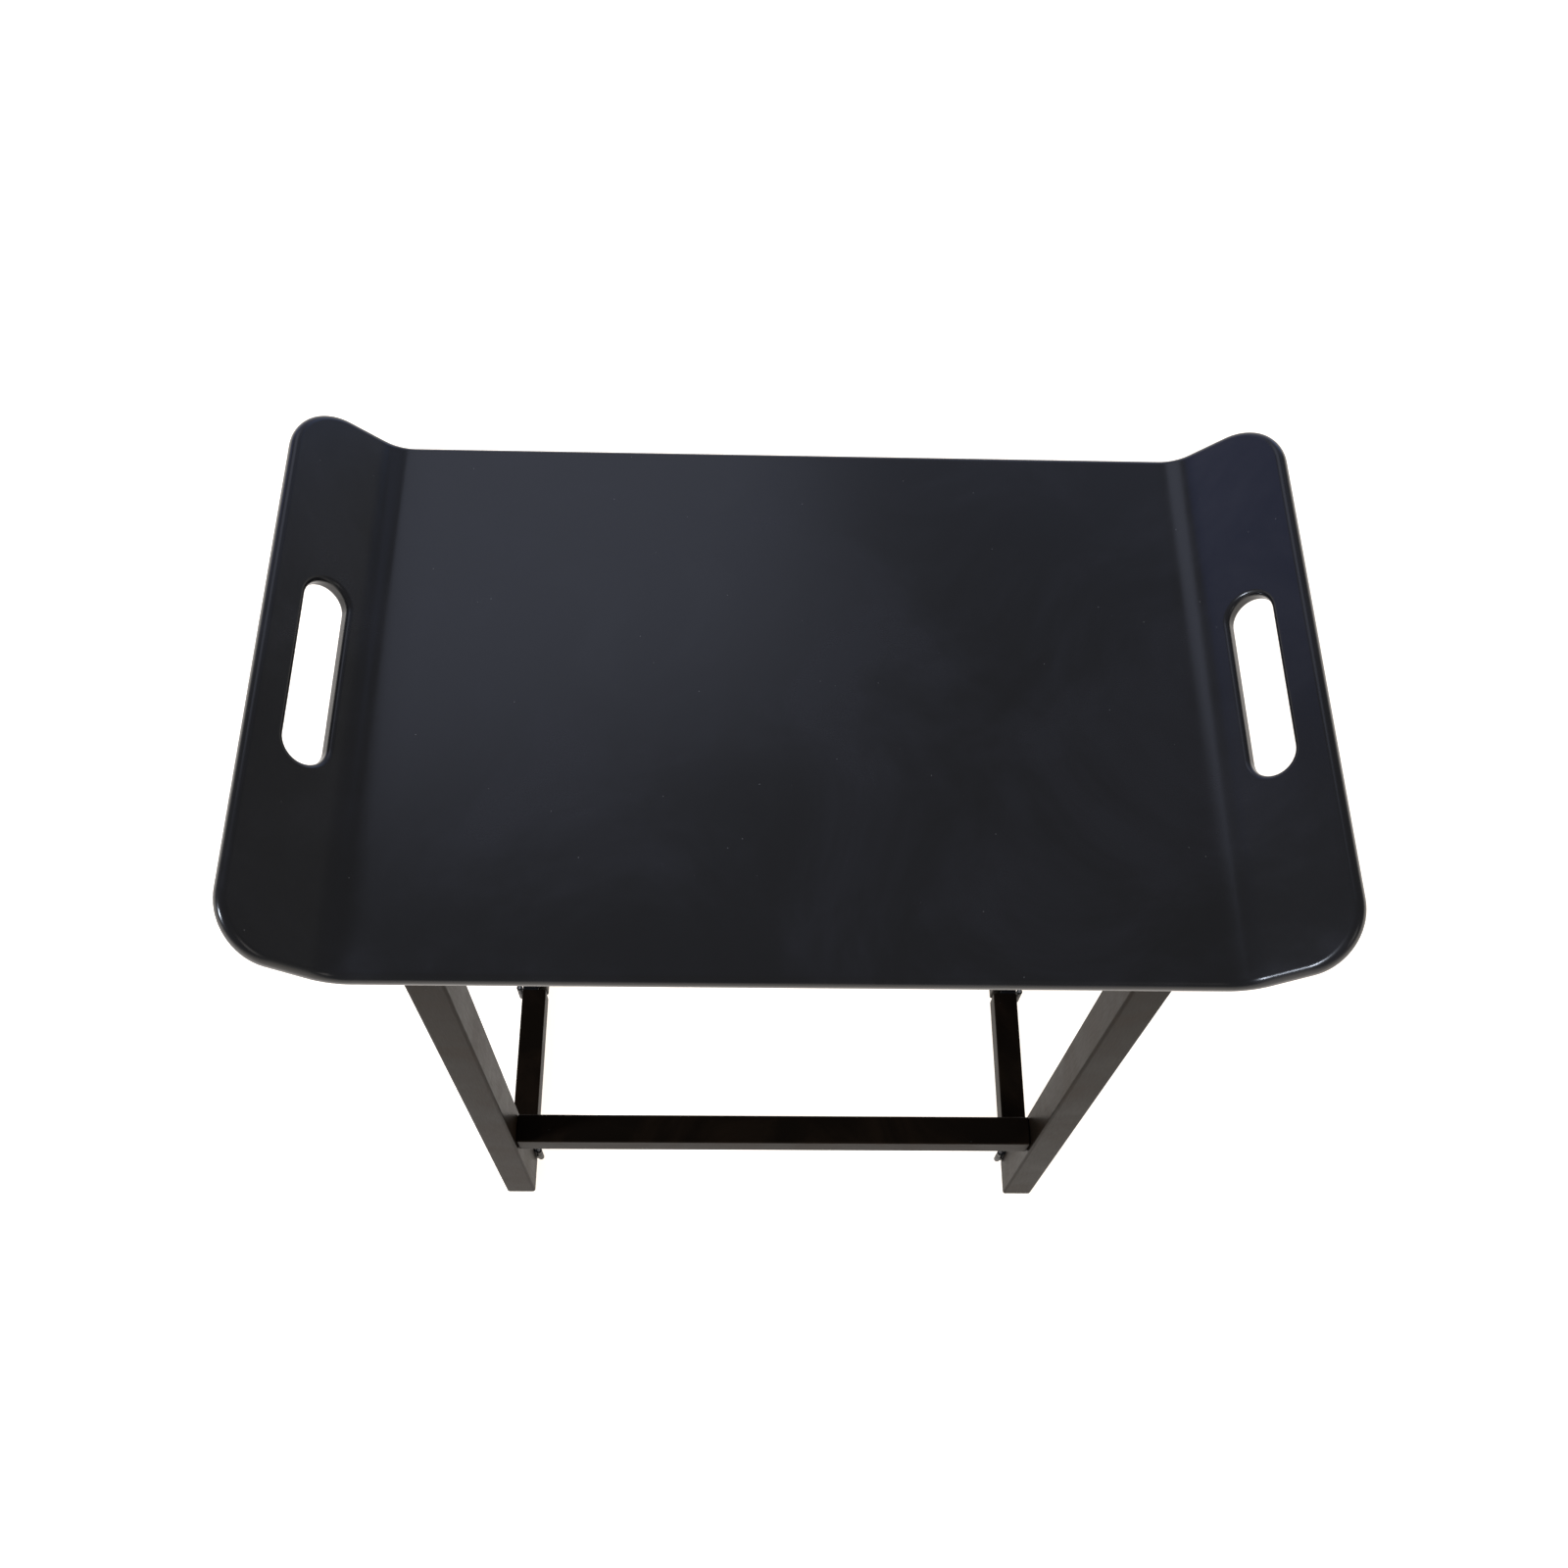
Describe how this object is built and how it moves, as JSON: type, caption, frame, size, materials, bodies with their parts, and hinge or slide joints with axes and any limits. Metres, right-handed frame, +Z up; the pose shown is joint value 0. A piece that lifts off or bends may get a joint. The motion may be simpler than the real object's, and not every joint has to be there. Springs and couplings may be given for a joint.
{
  "type": "folding tray table",
  "caption": "Lift-off bent plywood tray with two raised ends and hand slots, on a hinged stand whose leg frames fold together.",
  "frame": {"origin": "on the floor, under the middle of the tray", "axes": "+X along the tray's length to its right end, +Y to the back, +Z up"},
  "size_m": [0.6064, 0.36, 0.5733],
  "materials": {
    "tray_lacquer": "satin",
    "frame_lacquer": "satin",
    "black_steel": "satin",
    "hinge_pin_steel": "satin",
    "zinc_steel": "satin",
    "beech_dowels": "matte",
    "rubber_pads": "matte",
    "glide_plastic": "matte"
  },
  "bodies": {
    "back_frame": {"back_barrel_nuts": "zinc_steel", "back_connector_bolts": "zinc_steel", "back_dowels": "beech_dowels", "back_foot_glides": "glide_plastic", "back_hinge_leaves": "black_steel", "back_hinge_pins": "hinge_pin_steel", "back_hinge_screws": "black_steel", "back_left_leg": "frame_lacquer", "back_lower_rail": "frame_lacquer", "back_right_leg": "frame_lacquer", "back_top_rail": "frame_lacquer"},
    "front_frame": {"front_barrel_nuts": "zinc_steel", "front_connector_bolts": "zinc_steel", "front_dowels": "beech_dowels", "front_foot_glides": "glide_plastic", "front_hinge_leaves": "black_steel", "front_hinge_pins": "hinge_pin_steel", "front_hinge_screws": "black_steel", "front_left_leg": "frame_lacquer", "front_lower_rail": "frame_lacquer", "front_right_leg": "frame_lacquer", "front_top_rail": "frame_lacquer"},
    "left_back_link": {"left_back_hinge_leaves": "black_steel", "left_back_hinge_screws": "black_steel", "left_back_runner": "frame_lacquer", "left_back_top_bar": "frame_lacquer"},
    "left_front_link": {"left_front_hinge_leaves": "black_steel", "left_front_hinge_pins": "hinge_pin_steel", "left_front_hinge_screws": "black_steel", "left_front_runner": "frame_lacquer", "left_front_top_bar": "frame_lacquer"},
    "right_back_link": {"right_back_hinge_leaves": "black_steel", "right_back_hinge_screws": "black_steel", "right_back_runner": "frame_lacquer", "right_back_top_bar": "frame_lacquer"},
    "right_front_link": {"right_front_hinge_leaves": "black_steel", "right_front_hinge_pins": "hinge_pin_steel", "right_front_hinge_screws": "black_steel", "right_front_runner": "frame_lacquer", "right_front_top_bar": "frame_lacquer"},
    "tray": {"tray": "tray_lacquer", "tray_locating_pins": "zinc_steel", "tray_pads": "rubber_pads"}
  },
  "joints": [
    {"name": "tray_lift", "type": "slide", "parent": "front_frame", "child": "tray", "axis": [0, 0, 1], "range_m": [0, 0.12]},
    {"name": "stand_fold", "type": "hinge", "parent": "front_frame", "child": "right_front_link", "pos_m": [0.1902, -0.1405, 0.258], "axis": [0, 0, 1], "range_deg": [0, 88]},
    {"name": "right_mid_hinge", "type": "hinge", "parent": "right_front_link", "child": "right_back_link", "pos_m": [0.2158, 0, 0.258], "axis": [0, 0, -1], "range_deg": [0, 176]},
    {"name": "right_back_hinge", "type": "hinge", "parent": "right_back_link", "child": "back_frame", "pos_m": [0.1902, 0.1405, 0.258], "axis": [0, 0, 1], "range_deg": [0, 88]},
    {"name": "left_front_hinge", "type": "hinge", "parent": "front_frame", "child": "left_front_link", "pos_m": [-0.1902, -0.1405, 0.258], "axis": [0, 0, -1], "range_deg": [0, 88]},
    {"name": "left_mid_hinge", "type": "hinge", "parent": "left_front_link", "child": "left_back_link", "pos_m": [-0.2158, 0, 0.258], "axis": [0, 0, 1], "range_deg": [0, 176]}
  ],
  "couplings": [
    {"joint": "right_mid_hinge", "follows": "stand_fold", "ratio": 2},
    {"joint": "right_back_hinge", "follows": "stand_fold", "ratio": 1},
    {"joint": "left_front_hinge", "follows": "stand_fold", "ratio": 1},
    {"joint": "left_mid_hinge", "follows": "stand_fold", "ratio": 2}
  ]
}
